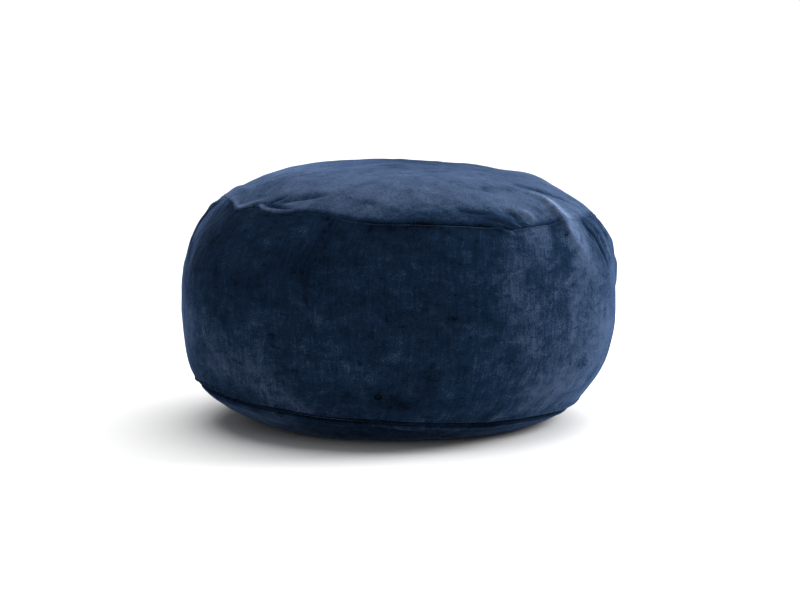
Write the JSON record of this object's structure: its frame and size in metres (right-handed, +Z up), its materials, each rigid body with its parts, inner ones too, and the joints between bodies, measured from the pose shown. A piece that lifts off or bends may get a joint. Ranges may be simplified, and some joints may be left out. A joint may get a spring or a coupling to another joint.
{
  "type": "floor pouf",
  "caption": "Round foam-filled floor pouf in short-pile plush, with a crowned top, a tall side band and a shallow base that rests flat on the floor.",
  "frame": {"origin": "floor under the middle of the pouf, at the middle of its bounding box", "axes": "+Z up, the front at -Y, +X to the right seen from the front"},
  "size_m": [0.7534, 0.7568, 0.4456],
  "materials": {
    "navy_plush": "short-pile plush with brushed and crushed pile marks"
  },
  "bodies": {
    "root": {"top_panel": "navy_plush", "side_band": "navy_plush", "base_strip": "navy_plush", "base_panel": "navy_plush"}
  },
  "joints": []
}
